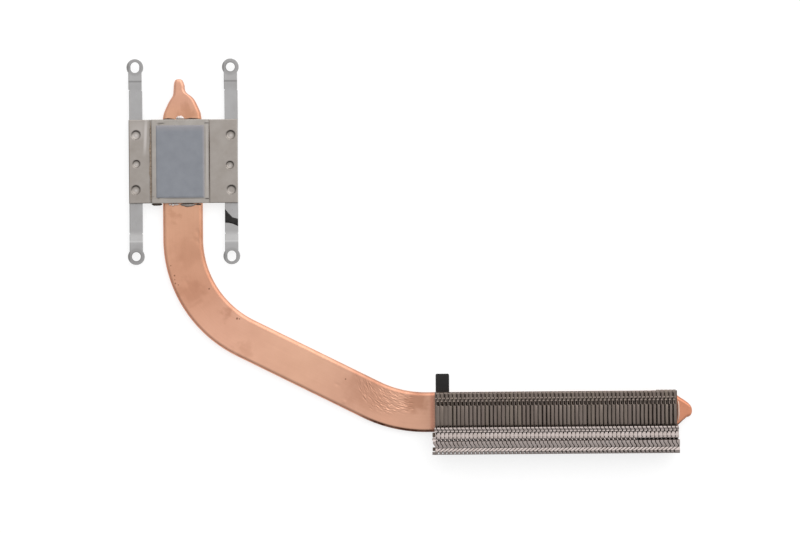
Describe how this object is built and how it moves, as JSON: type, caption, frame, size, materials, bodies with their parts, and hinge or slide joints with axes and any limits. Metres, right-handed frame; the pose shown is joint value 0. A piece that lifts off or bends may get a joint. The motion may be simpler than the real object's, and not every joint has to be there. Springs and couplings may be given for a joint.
{
  "type": "heatsink",
  "caption": "Flat copper heat pipe with two bends, a contact plate on two spring strips with screw eyes at one end and a stepped stack of folded fins at the other.",
  "frame": {"origin": "on the outer face of the thermal pad, in the middle of the four screw eyes", "axes": "+X runs along the fin stack, +Y from the stack towards the plate, +Z out of the contact face towards the chip"},
  "size_m": [0.1581, 0.1109, 0.0087],
  "materials": {
    "copper": "satin, slightly tarnished copper",
    "plated_plate": "satin plating",
    "spring_steel": "satin",
    "thermal_pad": "matt",
    "fin_sheet": "satin",
    "tape": "matt"
  },
  "bodies": {
    "root": {"heat_pipe": "copper", "mounting_plate": "plated_plate", "contact_block": "plated_plate", "thermal_pad": "thermal_pad", "left_spring_arm": "spring_steel", "right_spring_arm": "spring_steel", "tape_tab": "tape", "fin_pair_01": "fin_sheet", "fin_pair_02": "fin_sheet", "fin_pair_03": "fin_sheet", "fin_pair_04": "fin_sheet", "fin_pair_05": "fin_sheet", "fin_pair_06": "fin_sheet", "fin_pair_07": "fin_sheet", "fin_pair_08": "fin_sheet", "fin_pair_09": "fin_sheet", "fin_pair_10": "fin_sheet", "fin_pair_11": "fin_sheet", "fin_pair_12": "fin_sheet", "fin_pair_13": "fin_sheet", "fin_pair_14": "fin_sheet", "fin_pair_15": "fin_sheet", "fin_pair_16": "fin_sheet", "fin_pair_17": "fin_sheet", "fin_pair_18": "fin_sheet", "fin_pair_19": "fin_sheet", "fin_pair_20": "fin_sheet", "fin_pair_21": "fin_sheet", "fin_pair_22": "fin_sheet", "fin_pair_23": "fin_sheet", "fin_pair_24": "fin_sheet", "fin_pair_25": "fin_sheet", "fin_pair_26": "fin_sheet", "fin_pair_27": "fin_sheet", "fin_pair_28": "fin_sheet", "fin_pair_29": "fin_sheet", "fin_pair_30": "fin_sheet"}
  },
  "joints": []
}
